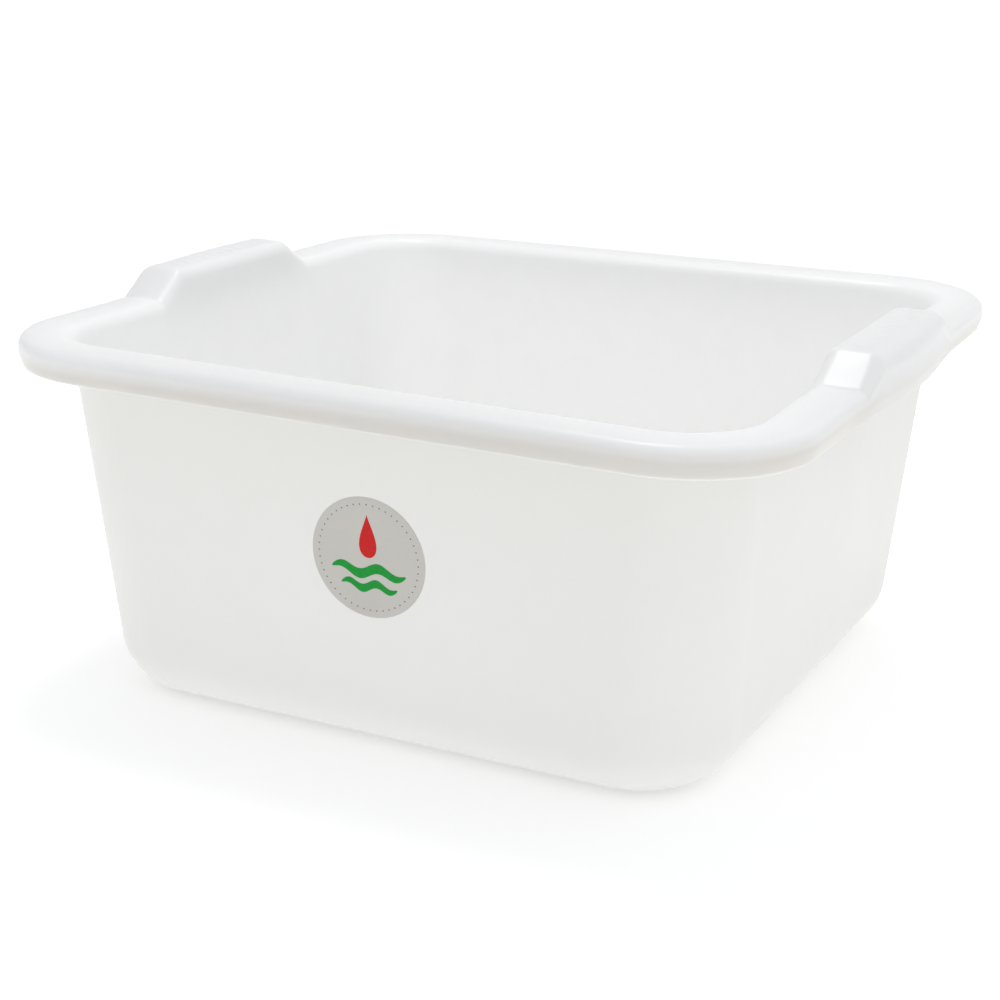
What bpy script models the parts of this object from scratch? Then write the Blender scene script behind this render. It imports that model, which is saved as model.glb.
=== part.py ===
"""A square plastic wash basin: one thin moulding, and the round sticker on its front wall.

Metres, +Z up. The basin stands on z = 0 with its centre on the Z axis. The wall with the sticker
faces -Y, and the two raised grips of the rim are on the +X and -X sides.
"""
import math

import bmesh
import bpy
from mathutils import Matrix, Vector

COLLECTION = "plastic_basin"
CUTTERS = "basin_cutters"

# Rim, at its outside
RIM_WIDTH = 0.360
RIM_DEPTH = 0.349
RIM_HEIGHT = 0.1625
RIM_CORNER_RADIUS = 0.056
RIM_OVERHANG = 0.0218
SKIRT_DEPTH = 0.0130
SKIRT_TUCK = 0.0018
SKIRT_TUCK_SHARE = 0.72
SKIRT_ROUND = 0.008
OUTER_ROLL_RADIUS = 0.0050
INNER_ROLL_RADIUS = 0.0062

# Wall and base. The two walls under the grips lean a little more than the other two.
WALL = 0.0020
WALL_TAPER = 0.0131
END_WALL_TAPER = 0.0108
BASE_CORNER_RADIUS = 0.042
BASE_FILLET_RADIUS = 0.0232
FOOT_RING_WIDTH = 0.009
PANEL_RECESS = 0.0015
PANEL_STEP_WIDTH = 0.0040
PANEL_CORNER_RADIUS = 0.018
EDGE_ROUND = 0.0006

# Raised grips, along the middle of the two sides
GRIP_CREST_LENGTH = 0.090
GRIP_FOOT_LENGTH = 0.125
GRIP_RISE = 0.0119
GRIP_BOW = 0.0048
GRIP_BOW_LENGTH = 0.136
GRIP_CREST_ROUND = 0.0070
GRIP_FOOT_ROUND = 0.0040
GRIP_CREST_SHARES = (0, 0.35, 0.65)

# Low ribs across the top of each grip
RIB_COUNT = 11
RIB_PITCH = 0.0072
RIB_WIDTH = 0.0024
RIB_HEIGHT = 0.0005
RIB_ROOT = 0.0004
RIB_END_MARGIN = 0.0012

# Mark of the mould's gate, under the middle of the base
GATE_RADIUS = 0.0065
GATE_DEPTH = 0.0006

# Sticker
LABEL_RADIUS = 0.0263
LABEL_THICKNESS = 0.0003
LABEL_CLEARANCE = 0.0003
LABEL_OFFSET = 0.0025
LABEL_HEIGHT = 0.0890

# Fineness of the round shapes
CORNER_STEPS = 13
FILLET_STEPS = 6
OUTER_ROLL_STEPS = 6
SKIRT_STEPS = 3
INNER_ROLL_STEPS = 4
GRIP_ROUND_STEPS = 4
RIB_SIDES = 14
GATE_SIDES = 32
LABEL_SIDES = 72

# Most of a leg that the arcs at its two ends may take
ARC_LEG_SHARE = 0.97

MERGE_DISTANCE = 0.00001
OVERRUN = 0.002

# The walls lean outward from the base to the rim by these angles
DRAFT = math.atan2(WALL_TAPER, RIM_HEIGHT)
END_DRAFT = math.atan2(END_WALL_TAPER, RIM_HEIGHT)


def clear_scene():
    for item in list(bpy.data.objects):
        bpy.data.objects.remove(item, do_unlink=True)


def new_collection(name):
    collection = bpy.data.collections.new(name)
    bpy.context.scene.collection.children.link(collection)
    return collection


def new_material(name, colour, roughness, metallic=0.0):
    material = bpy.data.materials.new(name)
    material.use_nodes = True
    shader = material.node_tree.nodes["Principled BSDF"]
    shader.inputs["Base Color"].default_value = (*colour, 1.0)
    shader.inputs["Roughness"].default_value = roughness
    shader.inputs["Metallic"].default_value = metallic
    material.diffuse_color = (*colour, 1.0)
    return material


def new_object(name, bm, collection, material=None):
    mesh = bpy.data.meshes.new(name)
    bm.to_mesh(mesh)
    bm.free()
    item = bpy.data.objects.new(name, mesh)
    collection.objects.link(item)
    if material:
        mesh.materials.append(material)
    return item


def arc_reach(corners, index):
    """How far the arc at a corner reaches along the corner's two legs."""
    place, radius, steps = corners[index]
    if not steps:
        return 0
    back, ahead = corners[index - 1][0] - place, corners[index + 1][0] - place
    return radius / math.tan(back.angle(ahead) / 2)


def rounded_path(corners):
    """Points of a path whose corners are arcs. A corner is its place, radius and number of steps.
    Two arcs that share a leg are drawn smaller where they wouldn't both fit on it."""
    reaches = [arc_reach(corners, index) for index in range(len(corners))]
    for index in range(len(corners) - 1):
        leg = (corners[index + 1][0] - corners[index][0]).length
        fit = min(1, ARC_LEG_SHARE * leg / max(reaches[index] + reaches[index + 1], MERGE_DISTANCE))
        reaches[index] *= fit
        reaches[index + 1] *= fit
    points = []
    for index, (place, radius, steps) in enumerate(corners):
        if not steps:
            points.append(place)
            continue
        back = (corners[index - 1][0] - place).normalized()
        ahead = (corners[index + 1][0] - place).normalized()
        half = back.angle(ahead) / 2
        start = place + back * reaches[index]
        centre = place + (back + ahead).normalized() * reaches[index] / math.cos(half)
        arm = start - centre
        for step in range(steps + 1):
            turn = (math.pi - 2 * half) * step / steps
            points.append(centre + arm * math.cos(turn) - back * arm.length * math.sin(turn))
    return points


# Cross-section. It is a path of (inset from the rim's outline, height) along the skin that faces
# the water and the hand: base panel, foot ring, wall, top of the rim, skirt.

def wall_inset(height):
    """Inset of the wall's inner face at a height."""
    lean = WALL_TAPER * (RIM_HEIGHT - height) / RIM_HEIGHT
    return RIM_OVERHANG + WALL / math.cos(DRAFT) + lean


def cross_section(rise, bow):
    top = RIM_HEIGHT + rise
    skirt_foot = RIM_HEIGHT - SKIRT_DEPTH
    tuck_start = skirt_foot + SKIRT_TUCK_SHARE * (SKIRT_DEPTH - OUTER_ROLL_RADIUS)
    ring_inset = wall_inset(WALL) + BASE_FILLET_RADIUS + FOOT_RING_WIDTH
    return rounded_path([
        (Vector((ring_inset + PANEL_STEP_WIDTH, WALL + PANEL_RECESS)), 0, 0),
        (Vector((ring_inset, WALL)), 0, 0),
        (Vector((wall_inset(WALL), WALL)), BASE_FILLET_RADIUS - WALL, FILLET_STEPS),
        (Vector((wall_inset(top), top)), INNER_ROLL_RADIUS, INNER_ROLL_STEPS),
        (Vector((-bow, top)), OUTER_ROLL_RADIUS, OUTER_ROLL_STEPS),
        (Vector((-bow, tuck_start)), SKIRT_ROUND, SKIRT_STEPS),
        (Vector((SKIRT_TUCK - bow, skirt_foot)), 0, 0),
    ])


# Outline. Each section inset from the rim's outline is a rounded rectangle.

def share_down_wall(inset):
    """0 at the rim and 1 at the base."""
    return min(max((inset - RIM_OVERHANG - WALL) / WALL_TAPER, 0), 1)


def corner_radius(inset):
    """Rim corners keep one centre. Down the wall they open out to the rounder corners of the base."""
    opening = BASE_CORNER_RADIUS - (RIM_CORNER_RADIUS - RIM_OVERHANG - WALL_TAPER)
    return max(RIM_CORNER_RADIUS - inset + opening * share_down_wall(inset), PANEL_CORNER_RADIUS)


def grip_profile():
    """Places along a quarter's side, with the rim's rise there: crest, ramp and plain rim."""
    crest = [(Vector((share * GRIP_CREST_LENGTH / 2, GRIP_RISE)), 0, 0) for share in GRIP_CREST_SHARES]
    return rounded_path(crest + [
        (Vector((GRIP_CREST_LENGTH / 2, GRIP_RISE)), GRIP_CREST_ROUND, GRIP_ROUND_STEPS),
        (Vector((GRIP_FOOT_LENGTH / 2, 0)), GRIP_FOOT_ROUND, GRIP_ROUND_STEPS),
        (Vector((max(GRIP_BOW_LENGTH, GRIP_FOOT_LENGTH + 2 * GRIP_FOOT_ROUND) / 2, 0)), 0, 0),
    ])


def grip_bow(along):
    """How far the rim's outer face bows out beside a grip."""
    return GRIP_BOW * max(1 - (2 * along / GRIP_BOW_LENGTH) ** 2, 0)


def stations():
    """Places round a quarter of the outline, from the middle of the +X side to that of the +Y side."""
    run = RIM_DEPTH / 2 - RIM_CORNER_RADIUS
    side = [("side", along / run, rise, grip_bow(along)) for along, rise in grip_profile()]
    corner = [("corner", math.pi / 2 * step / CORNER_STEPS, 0, 0) for step in range(CORNER_STEPS + 1)]
    return side + corner + [("front", 0, 0, 0)]


def outline_point(kind, value, inset):
    half_x, half_y = RIM_WIDTH / 2 - inset, RIM_DEPTH / 2 - inset
    half_y += (WALL_TAPER - END_WALL_TAPER) * share_down_wall(inset)
    radius = corner_radius(inset)
    run_x, run_y = half_x - radius, half_y - radius
    if kind == "side":
        return half_x, run_y * value
    if kind == "front":
        return run_x * value, half_y
    return run_x + radius * math.cos(value), run_y + radius * math.sin(value)


def quarter_skin():
    """The moulding's skin in the +X, +Y quarter, as a loft between the stations' cross-sections."""
    bm = bmesh.new()
    rows = []
    for kind, value, rise, bow in stations():
        path = cross_section(rise, bow)
        rows.append([bm.verts.new((*outline_point(kind, value, inset), height)) for inset, height in path])
    for row, following in zip(rows, rows[1:]):
        for step in range(len(row) - 1):
            bm.faces.new((row[step], row[step + 1], following[step + 1], following[step]))
    middle = bm.verts.new((0, 0, WALL + PANEL_RECESS))
    bm.faces.new([middle] + [row[0] for row in rows])
    return bm


def add_mirror(item):
    mirror = item.modifiers.new("quarters", "MIRROR")
    mirror.use_axis = (True, True, False)
    mirror.merge_threshold = MERGE_DISTANCE


def add_thickness(item):
    solid = item.modifiers.new("wall", "SOLIDIFY")
    solid.thickness = WALL
    solid.offset = -1
    solid.use_even_offset = True
    solid.use_quality_normals = True


def add_edge_round(item):
    bevel = item.modifiers.new("skirt_edge", "BEVEL")
    bevel.width = EDGE_ROUND
    bevel.segments = 1
    bevel.limit_method = "ANGLE"
    bevel.angle_limit = math.radians(60)


def add_boolean(item, operand, operation):
    boolean = item.modifiers.new(operand.name, "BOOLEAN")
    boolean.operation = operation
    boolean.object = operand
    boolean.solver = "EXACT"


def make_cutter(name, bm, collection):
    item = new_object(name, bm, collection)
    item.hide_render = True
    item.display_type = "WIRE"
    return item


def make_grip_ribs(collection):
    """Half-round ribs across the flat top of each grip. Each is an ellipse, sunk to its root."""
    crest = RIM_HEIGHT + GRIP_RISE
    inner_end = wall_inset(crest) - INNER_ROLL_RADIUS - RIB_END_MARGIN
    outer_end = OUTER_ROLL_RADIUS + RIB_END_MARGIN
    middle = RIM_WIDTH / 2 - (inner_end + outer_end) / 2
    size = Vector((2 * (RIB_HEIGHT + RIB_ROOT), RIB_WIDTH, inner_end - outer_end))
    bm = bmesh.new()
    for side in (-1, 1):
        for index in range(RIB_COUNT):
            along = RIB_PITCH * (index - (RIB_COUNT - 1) / 2)
            place = Matrix.Translation((side * middle, along, crest - RIB_ROOT))
            lie_down = Matrix.Rotation(math.pi / 2, 4, "Y")
            bmesh.ops.create_cone(bm, cap_ends=True, segments=RIB_SIDES, radius1=0.5, radius2=0.5, depth=1,
                                  matrix=place @ lie_down @ Matrix.Diagonal((*size, 1)))
    return make_cutter("grip_ribs", bm, collection)


def make_gate_cutter(collection):
    """A shallow round recess in the underside of the base panel."""
    bm = bmesh.new()
    height = OVERRUN + GATE_DEPTH
    place = Matrix.Translation((0, 0, PANEL_RECESS + GATE_DEPTH - height / 2))
    bmesh.ops.create_cone(bm, cap_ends=True, segments=GATE_SIDES, radius1=GATE_RADIUS, radius2=GATE_RADIUS,
                          depth=height, matrix=place)
    return make_cutter("gate_recess", bm, collection)


def make_basin(collection, cutters, frame):
    material = new_material("milky_polypropylene", (0.90, 0.90, 0.89), 0.38)
    basin = new_object("basin_shell", quarter_skin(), collection, material)
    basin.parent = frame
    add_mirror(basin)
    add_thickness(basin)
    add_edge_round(basin)
    add_boolean(basin, make_grip_ribs(cutters), "UNION")
    add_boolean(basin, make_gate_cutter(cutters), "DIFFERENCE")
    basin.data.shade_smooth()
    basin.data.set_sharp_from_angle(angle=math.radians(40))
    return basin


def make_label(collection, frame):
    """A thin disc that lies against the outer face of the front wall."""
    outward = Vector((0, -math.cos(END_DRAFT), -math.sin(END_DRAFT)))
    wall_face = RIM_DEPTH / 2 - RIM_OVERHANG - END_WALL_TAPER * (RIM_HEIGHT - LABEL_HEIGHT) / RIM_HEIGHT
    on_wall = Vector((LABEL_OFFSET, -wall_face, LABEL_HEIGHT))
    bpy.ops.mesh.primitive_cylinder_add(vertices=LABEL_SIDES, radius=LABEL_RADIUS, depth=LABEL_THICKNESS)
    label = bpy.context.active_object
    label.name = label.data.name = "round_label"
    label.location = on_wall + outward * (LABEL_CLEARANCE + LABEL_THICKNESS / 2)
    label.rotation_euler = (math.pi / 2 + END_DRAFT, 0, 0)
    label.data.materials.append(new_material("silver_sticker", (0.62, 0.60, 0.58), 0.42))
    for owner in list(label.users_collection):
        owner.objects.unlink(label)
    collection.objects.link(label)
    label.parent = frame
    return label


def main():
    clear_scene()
    parts = new_collection(COLLECTION)
    cutters = new_collection(CUTTERS)
    frame = bpy.data.objects.new("basin_frame", None)
    parts.objects.link(frame)
    make_basin(parts, cutters, frame)
    make_label(parts, frame)


main()
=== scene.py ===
"""A square plastic wash basin on a pale studio floor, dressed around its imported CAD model.

Metres, +Z up, in the CAD model's frame: the basin stands on z = 0, the wall with the sticker faces
-Y, and the raised grips are on the +X and -X sides.
"""
import math

import bmesh
import bpy
import numpy as np
from mathutils import Matrix, Vector


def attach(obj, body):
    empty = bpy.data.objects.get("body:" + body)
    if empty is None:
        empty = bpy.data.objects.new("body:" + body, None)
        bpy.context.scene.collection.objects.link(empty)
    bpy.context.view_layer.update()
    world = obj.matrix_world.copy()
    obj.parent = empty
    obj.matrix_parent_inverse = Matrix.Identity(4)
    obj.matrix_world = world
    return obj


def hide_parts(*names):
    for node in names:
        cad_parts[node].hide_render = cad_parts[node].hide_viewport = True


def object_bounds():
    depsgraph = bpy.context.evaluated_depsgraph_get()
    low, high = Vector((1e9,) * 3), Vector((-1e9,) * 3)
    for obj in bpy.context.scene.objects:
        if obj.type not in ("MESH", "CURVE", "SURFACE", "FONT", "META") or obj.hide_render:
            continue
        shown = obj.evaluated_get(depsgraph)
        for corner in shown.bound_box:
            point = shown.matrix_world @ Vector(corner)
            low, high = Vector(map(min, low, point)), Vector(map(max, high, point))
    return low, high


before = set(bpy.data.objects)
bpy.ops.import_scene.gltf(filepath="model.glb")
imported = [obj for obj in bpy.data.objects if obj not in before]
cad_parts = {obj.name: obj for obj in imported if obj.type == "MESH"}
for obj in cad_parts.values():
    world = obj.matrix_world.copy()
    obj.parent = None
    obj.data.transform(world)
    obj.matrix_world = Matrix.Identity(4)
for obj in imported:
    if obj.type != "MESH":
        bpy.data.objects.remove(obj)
CAD_LOW, CAD_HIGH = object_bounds()

# Sizes of the moulding and the sticker, the same as in the CAD model
RIM_WIDTH = 0.360
RIM_DEPTH = 0.349
RIM_HEIGHT = 0.1625
RIM_CORNER_RADIUS = 0.056
RIM_OVERHANG = 0.0218
SKIRT_DEPTH = 0.0130
SKIRT_TUCK = 0.0018
SKIRT_TUCK_SHARE = 0.72
SKIRT_ROUND = 0.008
OUTER_ROLL_RADIUS = 0.0050
INNER_ROLL_RADIUS = 0.0062
WALL = 0.0020
WALL_TAPER = 0.0131
END_WALL_TAPER = 0.0108
BASE_CORNER_RADIUS = 0.042
BASE_FILLET_RADIUS = 0.0232
FOOT_RING_WIDTH = 0.009
PANEL_RECESS = 0.0015
PANEL_STEP_WIDTH = 0.0040
PANEL_CORNER_RADIUS = 0.018
GATE_RADIUS = 0.0065
GATE_DEPTH = 0.0006
GRIP_CREST_LENGTH = 0.090
GRIP_FOOT_LENGTH = 0.125
GRIP_RISE = 0.0119
GRIP_BOW = 0.0048
GRIP_CREST_ROUND = 0.0070
GRIP_FOOT_ROUND = 0.0040
LABEL_RADIUS = 0.0263
LABEL_OFFSET = 0.0025
LABEL_HEIGHT = 0.0890

# Softer than in the CAD model: the ends of each grip's bow, and the rim's outer roll along a grip,
# which is at its broadest over the full roll's length and plain again at the roll's ends
GRIP_BOW_LENGTH = 0.170
GRIP_ROLL_RADIUS = 0.0090
GRIP_ROLL_LENGTH = 0.136
GRIP_FULL_ROLL_LENGTH = 0.060

# Ribs across the top of each grip, softer and lower than in the CAD model
RIB_COUNT = 11
RIB_PITCH = 0.0072
RIB_WIDTH = 0.0027
RIB_HEIGHT = 0.00035
RIB_END_MARGIN = 0.0012
RIB_END_FADE = 0.0012

# Finish of the skirt's lower lip and of the gate mark's edge, and the small unevenness of a thin
# moulding as it comes from its mould: walls that stand out a little, and a rim with two opposite
# corners up and two down. TWIST_FREE from the base and from each grip's middle stays untwisted.
LIP_ROUND = 0.0007
LIP_ANGLE = 60
GATE_EDGE = 0.0004
WALL_BULGE = 0.0005
RIM_TWIST = 0.00175
TWIST_FREE = 0.030

# Thickness of the sticker's film and its ink, and the film's rounded edge
FILM = 0.00022
FILM_EDGE = FILM * 0.4
FILM_LIFT = 0.00010
INK = 0.00003
INK_LIFT = 0.00001

# Shapes of the print: how slim the drop is, how sharply it draws up to its point, and half the
# thickness of a wave's ends, as a share of the sticker's radius
DROP_WIDTH = 0.62
DROP_SHARPNESS = 1.6
WAVE_END = 0.002

# Fineness
PANEL_RINGS = 8
PANEL_STEPS = 6
RING_STEPS = 3
FILLET_STEPS = 16
WALL_STEPS = 26
INNER_ROLL_STEPS = 8
RIM_TOP_STEPS = 10
OUTER_ROLL_STEPS = 12
SKIRT_STEPS = 6
LIP_STEPS = 3
CREST_SPACING = 0.00045
RAMP_SPACING = 0.0008
SIDE_STEPS = 8
CORNER_STEPS = 40
FRONT_STEPS = 18
PROFILE_STEPS = 32
MERGE_DISTANCE = 0.00001
FILM_SIDES = 144
FILM_RINGS = 14
FILM_EDGE_STEPS = 4
DROP_STEPS = 64
WAVE_STEPS = 71
DOT_SIDES = 14
FLOOR_SIDES = 96

# Colours of the plastic. At the base only part of the outside's painted shade is left, a painted lift
# from the floor's light.
INSIDE_SHADE = (0.908, 0.914, 0.904)
INSIDE_TINT = (0.925, 0.930, 0.922)
# Painted shade: the walls' outside, a darker copy of the inside's colour
OUTSIDE_PAINTED_SHADE = (0.682, 0.677, 0.640)
OUTSIDE_PAINTED_SHADE_TINT = (0.700, 0.697, 0.663)
# Painted sheen: the rim is lighter and cooler, as if lit by the cool sky
RIM_PAINTED_SHEEN = (0.948, 0.952, 0.966)
# Painted shade: the skirt's outer face is darker, most at its lower edge
SKIRT_PAINTED_SHADE = (0.570, 0.556, 0.515)
# How much of the outside's painted shade is left at the base: a painted lift from the floor's light
LOW_PAINTED_SHADE_SHARE = 0.65

# Where the painted shade of the outside and of the skirt begins and is full, by how far a face looks
# outward. The skirt's painted shade is full from SKIRT_FULL of its depth down, and a little weaker
# along a grip.
OUTSIDE_TURN = (-0.3, 0.3)
SKIRT_TURN = (0.2, 0.8)
SKIRT_FULL = 0.7
GRIP_SKIRT_LOSS = 0.15

# Light spreads this far inside the milky plastic, and blue a little less far than red
SCATTER_LENGTH = 0.012
SCATTER_SHARES = (1.0, 0.97, 0.92)

# Rare dark specks in the plastic
SPECK = (0.22, 0.19, 0.15)
SPECK_SCALE = 26.0
SPECK_RADIUS = 0.013
SPECK_RARITY = 0.93
SPECK_STRENGTH = 0.75

# Roughness, from the least to the most, and what the scuffs add
SATIN = (0.38, 0.46)
GLOSS = (0.285, 0.330)
SCUFFED = 0.08
FILM_ROUGHNESS = (0.32, 0.44)
INK_ROUGHNESS = (0.30, 0.42)

# Where most of a noise pattern's values lie
SPREAD = (0.3, 0.7)
NARROW_SPREAD = (0.35, 0.65)

# Colours of the sticker, and of its inks where they are light and dark
FILM_SHADE = (0.505, 0.493, 0.456)
FILM_TINT = (0.588, 0.574, 0.537)
FILM_SPARKLE = (0.73, 0.72, 0.69)
RED_INK = ((0.64, 0.012, 0.010), (0.57, 0.009, 0.007))
GREEN_INK = ((0.006, 0.32, 0.036), (0.004, 0.285, 0.030))
GREY_INK = ((0.20, 0.20, 0.20), (0.15, 0.15, 0.15))

# The floor's colours
FLOOR_SHADE = (0.945, 0.945, 0.945)
FLOOR_TINT = (0.955, 0.955, 0.955)

# Camera, fitted to the photograph
CAMERA_PLACE = (0.39347, -0.8187, 0.35697)
CAMERA_AZIMUTH = 26.338
CAMERA_ELEVATION = 17.396
CAMERA_ROLL = 0.866
CAMERA_LENS = 72.656
CAMERA_CLIP = (0.01, 100.0)
SENSOR = 36.0

# Soft studio light: an even light, more or less of it from some sides, a cool sky, a small lamp
# overhead and a floor that glows
EVEN_LIGHT = 0.706
MORE_LIGHT = (((-1, 0, 0), -0.20), ((0, 1, 0), 0.13), ((0, -1, 0), -0.10))
SKY_LIGHT = 0.21
SKY_COLOUR = (0.96, 0.99, 1.06, 1.0)
OVERHEAD_PLACE = Vector((-0.16, 0.14, 1.30))
OVERHEAD_AIM = Vector((0, 0, 0.1))
OVERHEAD_SIZE = (0.34, 0.27)
OVERHEAD_POWER = 2.9
FLOOR_GLOW = 0.275
FLOOR_RADIUS = 40.0
WHITE = (1.0, 1.0, 1.0, 1.0)

DRAFT = math.atan2(WALL_TAPER, RIM_HEIGHT)
END_DRAFT = math.atan2(END_WALL_TAPER, RIM_HEIGHT)


def smooth_step(low, high, value):
    share = min(max((value - low) / (high - low), 0), 1)
    return share * share * (3 - 2 * share)


def add_object(name, data):
    added = bpy.data.objects.new(name, data)
    bpy.context.scene.collection.objects.link(added)
    return added


# Materials

class Nodes:
    """A small helper that adds and links the shader nodes of one material."""

    def __init__(self, name):
        self.material = bpy.data.materials.new(name)
        self.material.use_nodes = True
        self.tree = self.material.node_tree
        self.shader = self.tree.nodes["Principled BSDF"]
        self.place = self.add("ShaderNodeTexCoord").outputs["Object"]

    def add(self, kind, **settings):
        node = self.tree.nodes.new(kind)
        for key, value in settings.items():
            setattr(node, key, value)
        return node

    def link(self, source, target):
        self.tree.links.new(source, target)

    def put(self, socket, value):
        if isinstance(value, bpy.types.NodeSocket):
            self.link(value, socket)
        else:
            socket.default_value = value

    def math(self, operation, a, b):
        node = self.add("ShaderNodeMath", operation=operation)
        self.put(node.inputs[0], a)
        self.put(node.inputs[1], b)
        return node.outputs[0]

    def noise(self, scale, detail=3.0, roughness=0.5, stretch=None, distortion=0.0):
        place = self.place
        if stretch:
            mapping = self.add("ShaderNodeMapping")
            mapping.inputs["Scale"].default_value = stretch
            self.link(place, mapping.inputs["Vector"])
            place = mapping.outputs["Vector"]
        node = self.add("ShaderNodeTexNoise")
        self.link(place, node.inputs["Vector"])
        node.inputs["Scale"].default_value = scale
        node.inputs["Detail"].default_value = detail
        node.inputs["Roughness"].default_value = roughness
        node.inputs["Distortion"].default_value = distortion
        return node.outputs["Fac"]

    def ramp(self, source, low, high, to_low=0.0, to_high=1.0):
        """A smooth step from one value to another while the source goes from low to high."""
        node = self.add("ShaderNodeMapRange", interpolation_type="SMOOTHSTEP")
        self.link(source, node.inputs["Value"])
        node.inputs["From Min"].default_value = low
        node.inputs["From Max"].default_value = high
        node.inputs["To Min"].default_value = to_low
        node.inputs["To Max"].default_value = to_high
        return node.outputs["Result"]

    def mix(self, factor, a, b):
        """Mixes two colours, each a socket or three numbers. Sockets 6 and 7 are the node's colours."""
        node = self.add("ShaderNodeMix", data_type="RGBA")
        self.put(node.inputs["Factor"], factor)
        for socket, value in ((node.inputs[6], a), (node.inputs[7], b)):
            self.put(socket, value if isinstance(value, bpy.types.NodeSocket) else (*value, 1.0))
        return node.outputs[2]

    def mix_values(self, factor, a, b):
        """Mixes two numbers. Sockets 2 and 3 are the node's numbers."""
        node = self.add("ShaderNodeMix", data_type="FLOAT")
        for index, value in ((0, factor), (2, a), (3, b)):
            self.put(node.inputs[index], value)
        return node.outputs[0]

    def attribute(self, name):
        return self.add("ShaderNodeAttribute", attribute_name=name).outputs["Fac"]

    def bump(self, height, strength, distance, normal=None):
        node = self.add("ShaderNodeBump")
        self.put(node.inputs["Height"], height)
        node.inputs["Strength"].default_value = strength
        node.inputs["Distance"].default_value = distance
        if normal:
            self.link(normal, node.inputs["Normal"])
        return node.outputs["Normal"]

    def set(self, **values):
        for key, value in values.items():
            self.put(self.shader.inputs[key.replace("_", " ")], value)
        return self.material


def polypropylene():
    """Milky moulded plastic: satin walls, a glossier rim, flow marks, fine mould texture, light
    scuffs and rare specks, with painted shade on the walls' outside and on the skirt and a painted
    sheen on the rim."""
    n = Nodes("milky_polypropylene")
    rim = n.attribute("rim")
    cloud = n.noise(scale=5.0, detail=2.0)
    mottle = n.noise(scale=60.0)
    flow = n.noise(scale=14.0, stretch=(1.0, 1.0, 0.18), distortion=0.4)
    grain = n.noise(scale=2600.0, detail=2.0)
    rubbed = n.noise(scale=38.0, detail=6.0, roughness=0.7, stretch=(1.0, 1.0, 3.5))
    scuff = n.ramp(rubbed, low=0.60, high=0.72)
    inside = n.mix(cloud, INSIDE_SHADE, INSIDE_TINT)
    # Painted shade: the walls' outside is darker than their inside
    painted_outside_shade = n.mix(cloud, OUTSIDE_PAINTED_SHADE, OUTSIDE_PAINTED_SHADE_TINT)
    wall = n.mix(n.attribute("painted_outside_shade"), inside, painted_outside_shade)
    # Random mottle, a little towards the colour of the skirt's painted shade
    wall = n.mix(n.ramp(mottle, *NARROW_SPREAD, to_high=0.03), wall, SKIRT_PAINTED_SHADE)
    # Painted sheen: a lighter, cooler colour on the rim
    colour = n.mix(rim, wall, RIM_PAINTED_SHEEN)
    # Painted shade on the skirt's outer face, most at its lower edge
    colour = n.mix(n.attribute("painted_skirt_shade"), colour, SKIRT_PAINTED_SHADE)
    colour = n.mix(specks(n), colour, SPECK)
    satin = n.ramp(flow, *SPREAD, *SATIN)
    satin = n.math("ADD", satin, n.math("MULTIPLY", scuff, SCUFFED))
    gloss = n.ramp(mottle, *SPREAD, *GLOSS)
    rough = n.mix_values(rim, satin, gloss)
    fine = n.bump(grain, strength=0.10, distance=0.0002)
    waves = n.bump(flow, strength=0.10, distance=0.0015, normal=fine)
    return n.set(Base_Color=colour, Roughness=rough, Normal=waves, IOR=1.49,
                 Subsurface_Weight=1.0, Subsurface_Radius=SCATTER_SHARES,
                 Subsurface_Scale=SCATTER_LENGTH)


def specks(n):
    """The strength of the specks: small dots, in a few of the cells that fill the space."""
    cells = n.add("ShaderNodeTexVoronoi", feature="F1")
    n.link(n.place, cells.inputs["Vector"])
    cells.inputs["Scale"].default_value = SPECK_SCALE
    dot = n.math("LESS_THAN", cells.outputs["Distance"], SPECK_RADIUS)
    chance = n.add("ShaderNodeSeparateColor")
    n.link(cells.outputs["Color"], chance.inputs["Color"])
    rare = n.math("GREATER_THAN", chance.outputs[0], SPECK_RARITY)
    return n.math("MULTIPLY", n.math("MULTIPLY", dot, rare), SPECK_STRENGTH)


def film():
    """Silver-grey sticker film with a faint metallic sparkle."""
    n = Nodes("silver_film")
    sparkle = n.ramp(n.noise(scale=5200.0, detail=1.0), low=0.55, high=0.75, to_high=0.4)
    haze = n.noise(scale=45.0)
    colour = n.mix(sparkle, n.mix(haze, FILM_SHADE, FILM_TINT), FILM_SPARKLE)
    rough = n.ramp(haze, *SPREAD, *FILM_ROUGHNESS)
    uneven = n.bump(haze, strength=0.15, distance=0.0008)
    return n.set(Base_Color=colour, Roughness=rough, Metallic=0.25, Normal=uneven, IOR=1.5)


def ink(name, light, dark):
    """Printed ink, with the faint unevenness of a printed solid."""
    n = Nodes(name)
    patchy = n.noise(scale=900.0)
    broad = n.noise(scale=120.0, detail=2.0)
    colour = n.mix(n.ramp(patchy, *NARROW_SPREAD), dark, light)
    rough = n.ramp(broad, *SPREAD, *INK_ROUGHNESS)
    uneven = n.bump(patchy, strength=0.05, distance=0.0002)
    return n.set(Base_Color=colour, Roughness=rough, Normal=uneven, IOR=1.5, Specular_IOR_Level=0.2)


def floor_paint():
    """Pale matt paint that glows, for a floor without dark shadows."""
    n = Nodes("pale_floor")
    colour = n.mix(n.noise(scale=2.0, detail=2.0), FLOOR_SHADE, FLOOR_TINT)
    return n.set(Base_Color=colour, Roughness=0.9, Specular_IOR_Level=0.1, Emission_Color=WHITE,
                 Emission_Strength=FLOOR_GLOW)


# The basin

def arc_reach(corners, index):
    """How far a corner's arc reaches along its legs."""
    place, radius, steps = corners[index][:3]
    if not steps:
        return 0
    back, ahead = corners[index - 1][0] - place, corners[index + 1][0] - place
    return radius / math.tan(back.angle(ahead) / 2)


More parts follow.
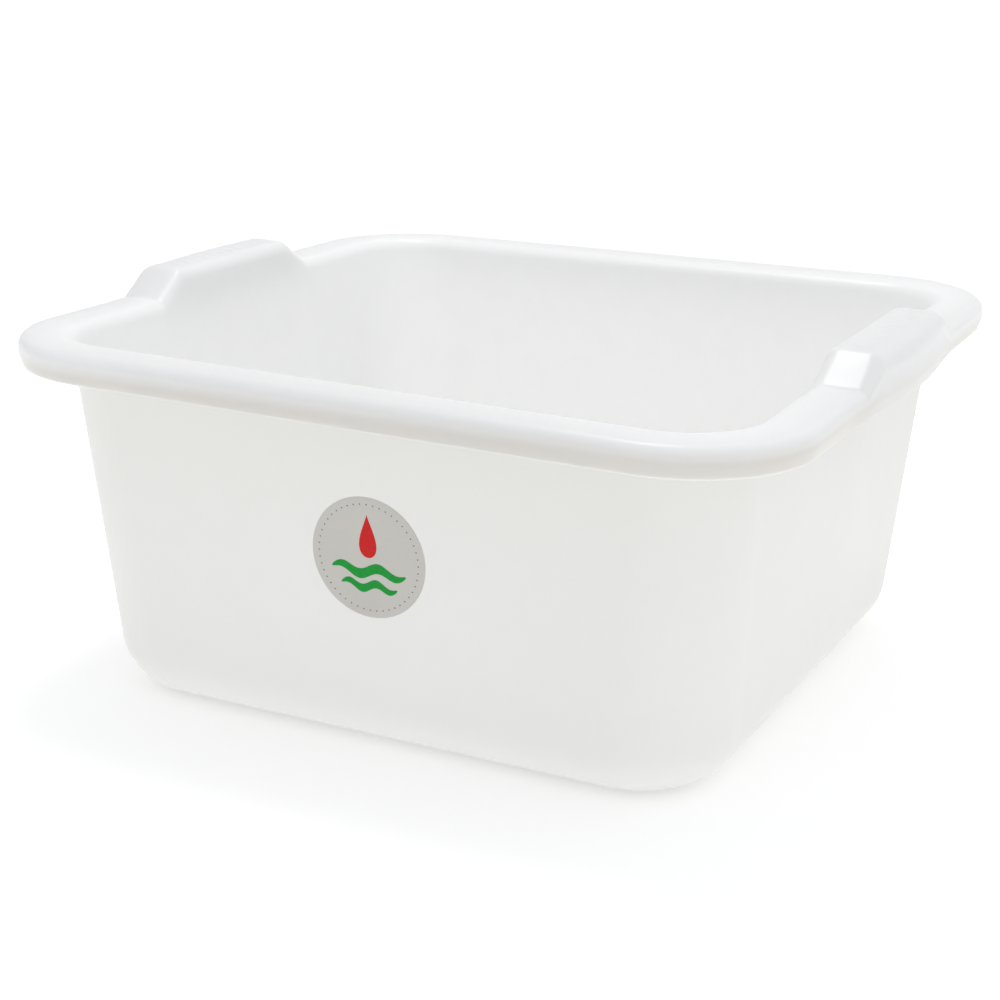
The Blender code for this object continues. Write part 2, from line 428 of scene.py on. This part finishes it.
def rounded_path(corners):
    """Points of a path whose corners are arcs. A corner is its place, radius, number of steps and
    the number of steps along the leg after it."""
    points = []
    for index, (place, radius, steps, leg_steps) in enumerate(corners):
        if steps:
            back = (corners[index - 1][0] - place).normalized()
            ahead = (corners[index + 1][0] - place).normalized()
            half = back.angle(ahead) / 2
            reach = arc_reach(corners, index)
            start = place + back * reach
            centre = place + (back + ahead).normalized() * reach / math.cos(half)
            arm = start - centre
            for step in range(steps + 1):
                turn = (math.pi - 2 * half) * step / steps
                points.append(centre + arm * math.cos(turn) - back * arm.length * math.sin(turn))
        else:
            points.append(place.copy())
        if leg_steps > 1:
            last = points[-1]
            following = corners[index + 1][0]
            ahead = following - place
            end = following - ahead.normalized() * arc_reach(corners, index + 1)
            points += [last.lerp(end, step / leg_steps) for step in range(1, leg_steps)]
    return points


def wall_inset(height):
    """How far the inner face of a wall is inside the rim's outline."""
    lean = WALL_TAPER * (RIM_HEIGHT - height) / RIM_HEIGHT
    return RIM_OVERHANG + WALL / math.cos(DRAFT) + lean


def cross_section(rise, bow, rounder):
    """The moulding's upper side, from the base panel's edge to the foot of the skirt, as points of
    their inset from the rim's outline and their height."""
    top = RIM_HEIGHT + rise
    roll = OUTER_ROLL_RADIUS + (GRIP_ROLL_RADIUS - OUTER_ROLL_RADIUS) * rounder
    skirt_foot = RIM_HEIGHT - SKIRT_DEPTH
    tuck_start = skirt_foot + SKIRT_TUCK_SHARE * (SKIRT_DEPTH - OUTER_ROLL_RADIUS)
    ring_inset = wall_inset(WALL) + BASE_FILLET_RADIUS + FOOT_RING_WIDTH
    return rounded_path([
        (Vector((ring_inset + PANEL_STEP_WIDTH, WALL + PANEL_RECESS)), 0, 0, PANEL_STEPS),
        (Vector((ring_inset, WALL)), 0, 0, RING_STEPS),
        (Vector((wall_inset(WALL), WALL)), BASE_FILLET_RADIUS - WALL, FILLET_STEPS, WALL_STEPS),
        (Vector((wall_inset(top), top)), INNER_ROLL_RADIUS, INNER_ROLL_STEPS, RIM_TOP_STEPS),
        (Vector((-bow, top)), roll, OUTER_ROLL_STEPS, 2),
        (Vector((-bow, tuck_start)), SKIRT_ROUND, SKIRT_STEPS, SKIRT_STEPS),
        (Vector((SKIRT_TUCK - bow, skirt_foot)), 0, 0, 0),
    ])


def share_down_wall(inset):
    return min(max((inset - RIM_OVERHANG - WALL) / WALL_TAPER, 0), 1)


def corner_radius(inset):
    opening = BASE_CORNER_RADIUS - (RIM_CORNER_RADIUS - RIM_OVERHANG - WALL_TAPER)
    return max(RIM_CORNER_RADIUS - inset + opening * share_down_wall(inset), PANEL_CORNER_RADIUS)


def grip_profile():
    """The rim's rise along a side: places from its middle, the rise at each, and the last place."""
    foot_end = max(GRIP_BOW_LENGTH, GRIP_FOOT_LENGTH + 2 * GRIP_FOOT_ROUND) / 2
    path = rounded_path([
        (Vector((0, GRIP_RISE)), 0, 0, 0),
        (Vector((GRIP_CREST_LENGTH / 2, GRIP_RISE)), GRIP_CREST_ROUND, PROFILE_STEPS, 0),
        (Vector((GRIP_FOOT_LENGTH / 2, 0)), GRIP_FOOT_ROUND, PROFILE_STEPS, 0),
        (Vector((foot_end, 0)), 0, 0, 0),
    ])
    return [p.x for p in path], [p.y for p in path], foot_end


def stations():
    """Places round a quarter of the outline, from the middle of the +X side to that of the +Y side:
    the stretch that each is on, its place there, and the rim's rise, bow and rounder roll."""
    along, rises, foot_end = grip_profile()
    run = RIM_DEPTH / 2 - RIM_CORNER_RADIUS
    crest_end = GRIP_CREST_LENGTH / 2 - GRIP_CREST_ROUND
    places = list(np.linspace(0, crest_end, round(crest_end / CREST_SPACING) + 1))
    ramp_steps = round((foot_end - crest_end) / RAMP_SPACING)
    places += list(np.linspace(crest_end, foot_end, ramp_steps + 1))[1:]
    places += list(np.linspace(foot_end, run, SIDE_STEPS + 1))[1:]
    found = []
    for place in places:
        bow = GRIP_BOW * max(1 - (2 * place / GRIP_BOW_LENGTH) ** 2, 0) ** 2
        rounder = smooth_step(GRIP_ROLL_LENGTH / 2, GRIP_FULL_ROLL_LENGTH / 2, place)
        found.append(("side", place / run, float(np.interp(place, along, rises)), bow, rounder))
    turns = [math.pi / 2 * step / CORNER_STEPS for step in range(1, CORNER_STEPS)]
    found += [("corner", turn, 0, 0, 0) for turn in turns]
    return found + [("front", 1 - step / FRONT_STEPS, 0, 0, 0) for step in range(FRONT_STEPS + 1)]


def outline_point(kind, value, inset):
    half_x, half_y = RIM_WIDTH / 2 - inset, RIM_DEPTH / 2 - inset
    half_y += (WALL_TAPER - END_WALL_TAPER) * share_down_wall(inset)
    radius = corner_radius(inset)
    run_x, run_y = half_x - radius, half_y - radius
    if kind == "side":
        return half_x, run_y * value
    if kind == "front":
        return run_x * value, half_y
    return run_x + radius * math.cos(value), run_y + radius * math.sin(value)


def rib_height(along, inset, height, crest):
    """Height of the ribs over the flat top of a grip."""
    if height < crest - RIB_HEIGHT:
        return 0
    inner_end = wall_inset(crest) - INNER_ROLL_RADIUS - RIB_END_MARGIN
    outer_end = GRIP_ROLL_RADIUS - GRIP_BOW
    ends = smooth_step(outer_end, outer_end + RIB_END_FADE, inset)
    ends *= smooth_step(inner_end, inner_end - RIB_END_FADE, inset)
    index = round(along / RIB_PITCH)
    if abs(index) > (RIB_COUNT - 1) / 2:
        return 0
    offset = abs(along - index * RIB_PITCH) / (RIB_WIDTH / 2)
    return RIB_HEIGHT * ends * (math.cos(offset * math.pi / 2) ** 2 if offset < 1 else 0)


def wall_bulge(kind, value, height):
    """A thin wall stands out a little in its middle."""
    if kind == "corner":
        return 0
    across = math.cos(value * math.pi / 2) ** 2
    up = math.sin(math.pi * min(max(height / RIM_HEIGHT, 0), 1)) ** 2
    return WALL_BULGE * across * up


def twist(place):
    """How far the twist of the moulding lifts a place. The base and the grips' middles stay level."""
    x, y, z = place
    across = 2 * x / RIM_WIDTH
    along = math.copysign(max(abs(y) - TWIST_FREE, 0), y) / (RIM_DEPTH / 2 - TWIST_FREE)
    return RIM_TWIST * across * along * max(z - TWIST_FREE, 0) / (RIM_HEIGHT - TWIST_FREE)


def basin_mesh():
    """The moulding's upper side round a quarter of its outline, and its rows of points. Their "rim"
    marks go from 0 on the wall to 1 on the rim."""
    crest = RIM_HEIGHT + GRIP_RISE
    bm = bmesh.new()
    rim_layer = bm.verts.layers.float.new("rim")
    rows = []
    first_rim = PANEL_STEPS + RING_STEPS + FILLET_STEPS + WALL_STEPS
    for kind, value, rise, bow, rounder in stations():
        row = []
        for index, (inset, height) in enumerate(cross_section(rise, bow, rounder)):
            on_wall = index < first_rim
            moved = inset - (wall_bulge(kind, value, height) if on_wall else 0)
            x, y = outline_point(kind, value, moved)
            if kind == "side" and not on_wall:
                height += rib_height(y, inset, height, crest)
            vert = bm.verts.new((x, y, height))
            vert[rim_layer] = smooth_step(first_rim - 2, first_rim + INNER_ROLL_STEPS, index)
            row.append(vert)
        rows.append(row)
    for row, following in zip(rows, rows[1:]):
        for step in range(len(row) - 1):
            bm.faces.new((row[step], row[step + 1], following[step + 1], following[step]))
    return bm, rows


def panel_fill(bm, rows):
    """The base panel: rings of faces that close on its middle, the last two for the gate mark."""
    middle = bm.verts.new((0, 0, WALL + PANEL_RECESS))
    ring = [row[0] for row in rows]
    outer = [v.co.copy() for v in ring]
    shares = [1 - step / PANEL_RINGS for step in range(1, PANEL_RINGS)]
    inner_rings = [[co.xy * share for co in outer] for share in shares]
    for radius in (GATE_RADIUS, GATE_RADIUS - GATE_EDGE):
        inner_rings.append([co.xy.normalized() * radius for co in outer])
    for places in inner_rings:
        inner = [bm.verts.new((*place, middle.co.z)) for place in places]
        for index in range(len(ring) - 1):
            bm.faces.new((ring[index], ring[index + 1], inner[index + 1], inner[index]))
        ring = inner
    for index in range(len(ring) - 1):
        bm.faces.new((ring[index], ring[index + 1], middle))


def new_piece(name, bm, material, smooth=True):
    """Makes a piece of the object from a bmesh, which it frees."""
    mesh = bpy.data.meshes.new(name)
    bmesh.ops.recalc_face_normals(bm, faces=bm.faces[:])
    bm.to_mesh(mesh)
    bm.free()
    piece = add_object(name, mesh)
    mesh.materials.append(material)
    if smooth:
        mesh.shade_smooth()
    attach(piece, "root")
    return piece


def make_basin():
    bm, rows = basin_mesh()
    panel_fill(bm, rows)
    for axis in ("X", "Y"):
        everything = bm.verts[:] + bm.edges[:] + bm.faces[:]
        bmesh.ops.mirror(bm, geom=everything, axis=axis, merge_dist=MERGE_DISTANCE)
    for vert in bm.verts:
        vert.co.z += twist(vert.co)
    basin = new_piece("basin_moulding", bm, polypropylene())
    solid = basin.modifiers.new("wall", "SOLIDIFY")
    solid.thickness = WALL
    solid.offset = -1
    solid.use_even_offset = True
    solid.use_quality_normals = True
    lip = basin.modifiers.new("lip", "BEVEL")
    lip.width = LIP_ROUND
    lip.segments = LIP_STEPS
    lip.limit_method = "ANGLE"
    lip.angle_limit = math.radians(LIP_ANGLE)
    apply_modifiers(basin)
    press_gate_mark(basin.data)
    mark_faces(basin.data)
    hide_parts("basin_shell")


def apply_modifiers(piece):
    shaped = piece.evaluated_get(bpy.context.evaluated_depsgraph_get())
    plain, mesh = piece.data, bpy.data.meshes.new_from_object(shaped)
    piece.modifiers.clear()
    piece.data = mesh
    bpy.data.meshes.remove(plain)
    mesh.name = piece.name


def press_gate_mark(mesh):
    """Presses the shallow round mark of the mould's gate into the underside."""
    for vert in mesh.vertices:
        if vert.co.xy.length < GATE_RADIUS - GATE_EDGE / 2 and vert.co.z < WALL:
            vert.co.z += GATE_DEPTH


def mark_faces(mesh):
    """Marks where shade is painted: the outside of the walls, less at their base, and the skirt's outer
    face, most at its lower edge.
    """
    painted_outside_shade = mesh.attributes.new("painted_outside_shade", "FLOAT", "POINT")
    painted_skirt_shade = mesh.attributes.new("painted_skirt_shade", "FLOAT", "POINT")
    rim = mesh.attributes["rim"]
    along, rises, foot_end = grip_profile()
    for vert in mesh.vertices:
        x, y, z = vert.co
        # The middle itself faces no side, and 1 mm keeps it from a division by zero
        away = (vert.normal.x * x + vert.normal.y * y) / max(math.hypot(x, y), 0.001)
        # The outside's painted shade grows weaker towards the base, painted light from the floor
        strength = LOW_PAINTED_SHADE_SHARE + (1 - LOW_PAINTED_SHADE_SHARE) * smooth_step(0, RIM_HEIGHT, z)
        painted_outside_shade.data[vert.index].value = smooth_step(*OUTSIDE_TURN, away) * strength
        # The skirt's painted shade, darkest low on its outer face, reaching up over the broad roll of a
        # grip
        rise = float(np.interp(abs(y), along, rises)) if abs(y) < foot_end else 0
        risen = rise / GRIP_RISE
        depth = (RIM_HEIGHT + rise - z) / (SKIRT_DEPTH + rise)
        full = SKIRT_FULL + (1 - SKIRT_FULL) * risen
        strength = smooth_step(0, full, depth) * (1 - GRIP_SKIRT_LOSS * risen)
        on_rim = rim.data[vert.index].value
        painted_skirt_shade.data[vert.index].value = on_rim * smooth_step(*SKIRT_TURN, away) * strength


# The sticker. Its print is worked out on the flat film, in shares of its radius.

def label_frame():
    """From the film's own plane, with Z outward, to its place on the front wall."""
    outward = Vector((0, -math.cos(END_DRAFT), -math.sin(END_DRAFT)))
    lean = END_WALL_TAPER * (RIM_HEIGHT - LABEL_HEIGHT) / RIM_HEIGHT
    wall_face = RIM_DEPTH / 2 - RIM_OVERHANG - lean + wall_bulge("front", 0, LABEL_HEIGHT)
    place = Vector((LABEL_OFFSET, -wall_face, LABEL_HEIGHT)) + outward * FILM_LIFT
    right = Vector((1, 0, 0))
    up = outward.cross(right)
    turn = Matrix((right, up, outward)).transposed().to_4x4()
    return Matrix.Translation(place) @ turn


def circle(radius, sides, centre=(0, 0)):
    turns = np.linspace(0, 2 * math.pi, sides, endpoint=False)
    return [(centre[0] + radius * math.cos(a), centre[1] + radius * math.sin(a)) for a in turns]


def film_disc():
    """A thin round plate with a rounded upper edge."""
    bm = bmesh.new()
    flat = LABEL_RADIUS - FILM_EDGE
    profile = [(LABEL_RADIUS, 0)]
    for a in np.linspace(0, math.pi / 2, FILM_EDGE_STEPS + 1):
        profile.append((flat + FILM_EDGE * math.cos(a), FILM - FILM_EDGE + FILM_EDGE * math.sin(a)))
    profile += [(flat * (1 - step / FILM_RINGS), FILM) for step in range(1, FILM_RINGS)]
    loops = [[bm.verts.new((*place, z)) for place in circle(r, FILM_SIDES)] for r, z in profile]
    for ring, following in zip(loops, loops[1:]):
        for index in range(FILM_SIDES):
            after = (index + 1) % FILM_SIDES
            bm.faces.new((ring[index], ring[after], following[after], following[index]))
    top, bottom = bm.verts.new((0, 0, FILM)), bm.verts.new((0, 0, 0))
    for index in range(FILM_SIDES):
        after = (index + 1) % FILM_SIDES
        bm.faces.new((loops[-1][index], loops[-1][after], top))
        bm.faces.new((loops[0][after], loops[0][index], bottom))
    return bm


def plates(outlines):
    """Thin flat plates of ink, one from each closed outline."""
    bm = bmesh.new()
    for outline in outlines:
        low, high = [], []
        for level, z in ((low, FILM + INK_LIFT), (high, FILM + INK_LIFT + INK)):
            level += [bm.verts.new((x * LABEL_RADIUS, y * LABEL_RADIUS, z)) for x, y in outline]
        bm.faces.new(high)
        bm.faces.new(low[::-1])
        for index in range(len(outline)):
            after = (index + 1) % len(outline)
            bm.faces.new((low[index], low[after], high[after], high[index]))
    return bm


def droplet(centre, size):
    """A drop of water: a round belly that draws up to a point."""
    points = []
    for a in np.linspace(0, 2 * math.pi, DROP_STEPS, endpoint=False):
        half_width = size * DROP_WIDTH * math.sin(a / 2) ** DROP_SHARPNESS
        points.append((centre[0] + half_width * math.sin(a), centre[1] + size * math.cos(a)))
    return points


def wave(height, half_length, thickness, crests, rise):
    """A wavy strip that thins out towards both ends."""
    top, bottom = [], []
    for share in np.linspace(-1, 1, WAVE_STEPS + 1):
        middle = height + rise * math.sin(crests * math.pi * share)
        spread = thickness / 2 * math.sqrt(max(1 - share ** 2, 0)) + WAVE_END
        top.append((share * half_length, middle + spread))
        bottom.append((share * half_length, middle - spread))
    return bottom + top[::-1]


def dots(radius, count, size):
    """A ring of small dots."""
    return [circle(size, DOT_SIDES, centre) for centre in circle(radius, count)]


def make_label():
    place = label_frame()
    sticker = film_disc()
    sticker.transform(place)
    label = new_piece("sticker_film", sticker, film())
    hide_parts("round_label")
    pieces = [label]
    waves = [wave(height=-0.22, half_length=0.66, thickness=0.17, crests=2, rise=0.06),
             wave(height=-0.47, half_length=0.50, thickness=0.14, crests=2, rise=0.05)]
    prints = {
        "print_drop": ([droplet(centre=(0, 0.36), size=0.36)], ink("red_ink", *RED_INK)),
        "print_waves": (waves, ink("green_ink", *GREEN_INK)),
        "print_dots": (dots(radius=0.88, count=48, size=0.013), ink("grey_ink", *GREY_INK)),
    }
    for name, (outlines, material) in prints.items():
        shapes = plates(outlines)
        shapes.transform(place)
        pieces.append(new_piece(name, shapes, material, smooth=False))
    for piece in pieces:
        # The milky wall glows from within, and a thin film lets that light by: no dark disc inside
        piece.visible_diffuse = piece.visible_shadow = False


# The studio

def make_floor():
    bm = bmesh.new()
    bmesh.ops.create_circle(bm, cap_ends=True, segments=FLOOR_SIDES, radius=FLOOR_RADIUS)
    mesh = bpy.data.meshes.new("floor")
    bm.to_mesh(mesh)
    bm.free()
    floor = add_object("floor", mesh)
    floor.location.z = CAD_LOW.z
    mesh.materials.append(floor_paint())


def make_overhead():
    """A small lamp that looks down on the basin."""
    light = bpy.data.lights.new("overhead", "AREA")
    light.shape = "RECTANGLE"
    light.size, light.size_y = OVERHEAD_SIZE
    light.energy = OVERHEAD_POWER
    lamp = add_object("overhead", light)
    lamp.location = OVERHEAD_PLACE
    lamp.rotation_euler = (OVERHEAD_AIM - OVERHEAD_PLACE).to_track_quat("-Z", "Y").to_euler()


def make_world():
    """Soft light from all round, more of it from above and behind, less from the left and front."""
    world = bpy.data.worlds.new("studio")
    bpy.context.scene.world = world
    world.use_nodes = True
    tree = world.node_tree
    direction = tree.nodes.new("ShaderNodeTexCoord").outputs["Generated"]

    def joined(operation, a, b):
        node = tree.nodes.new("ShaderNodeMath")
        node.operation = operation
        for socket, value in zip(node.inputs, (a, b)):
            if isinstance(value, bpy.types.NodeSocket):
                tree.links.new(value, socket)
            else:
                socket.default_value = value
        return node.outputs[0]

    def from_side(axis):
        facing = tree.nodes.new("ShaderNodeVectorMath")
        facing.operation = "DOT_PRODUCT"
        facing.inputs[1].default_value = axis
        tree.links.new(direction, facing.inputs[0])
        return joined("MAXIMUM", facing.outputs["Value"], 0.0)

    strength = EVEN_LIGHT
    for axis, more in MORE_LIGHT:
        strength = joined("ADD", joined("MULTIPLY", from_side(axis), more), strength)
    around = tree.nodes["Background"]
    around.inputs["Color"].default_value = WHITE
    tree.links.new(strength, around.inputs["Strength"])
    sky = tree.nodes.new("ShaderNodeBackground")
    sky.inputs["Color"].default_value = SKY_COLOUR
    tree.links.new(joined("MULTIPLY", from_side((0, 0, 1)), SKY_LIGHT), sky.inputs["Strength"])
    both = tree.nodes.new("ShaderNodeAddShader")
    tree.links.new(around.outputs[0], both.inputs[0])
    tree.links.new(sky.outputs[0], both.inputs[1])
    tree.links.new(both.outputs[0], tree.nodes["World Output"].inputs["Surface"])


def make_camera():
    azimuth, elevation, roll = map(math.radians, (CAMERA_AZIMUTH, CAMERA_ELEVATION, CAMERA_ROLL))
    ahead = Vector((-math.sin(azimuth), math.cos(azimuth), 0))
    forward = ahead * math.cos(elevation) - Vector((0, 0, math.sin(elevation)))
    level = Vector((math.cos(azimuth), math.sin(azimuth), 0))
    upright = level.cross(forward)
    right = level * math.cos(roll) + upright * math.sin(roll)
    up = upright * math.cos(roll) - level * math.sin(roll)
    data = bpy.data.cameras.new("camera")
    data.lens, data.sensor_width = CAMERA_LENS, SENSOR
    data.clip_start, data.clip_end = CAMERA_CLIP
    camera = add_object("camera", data)
    turn = Matrix((right, up, -forward)).transposed().to_4x4()
    camera.matrix_world = Matrix.Translation(CAMERA_PLACE) @ turn
    bpy.context.scene.camera = camera


make_basin()
make_label()
make_floor()
make_world()
make_overhead()
make_camera()
bpy.context.scene.view_settings.view_transform = "Standard"
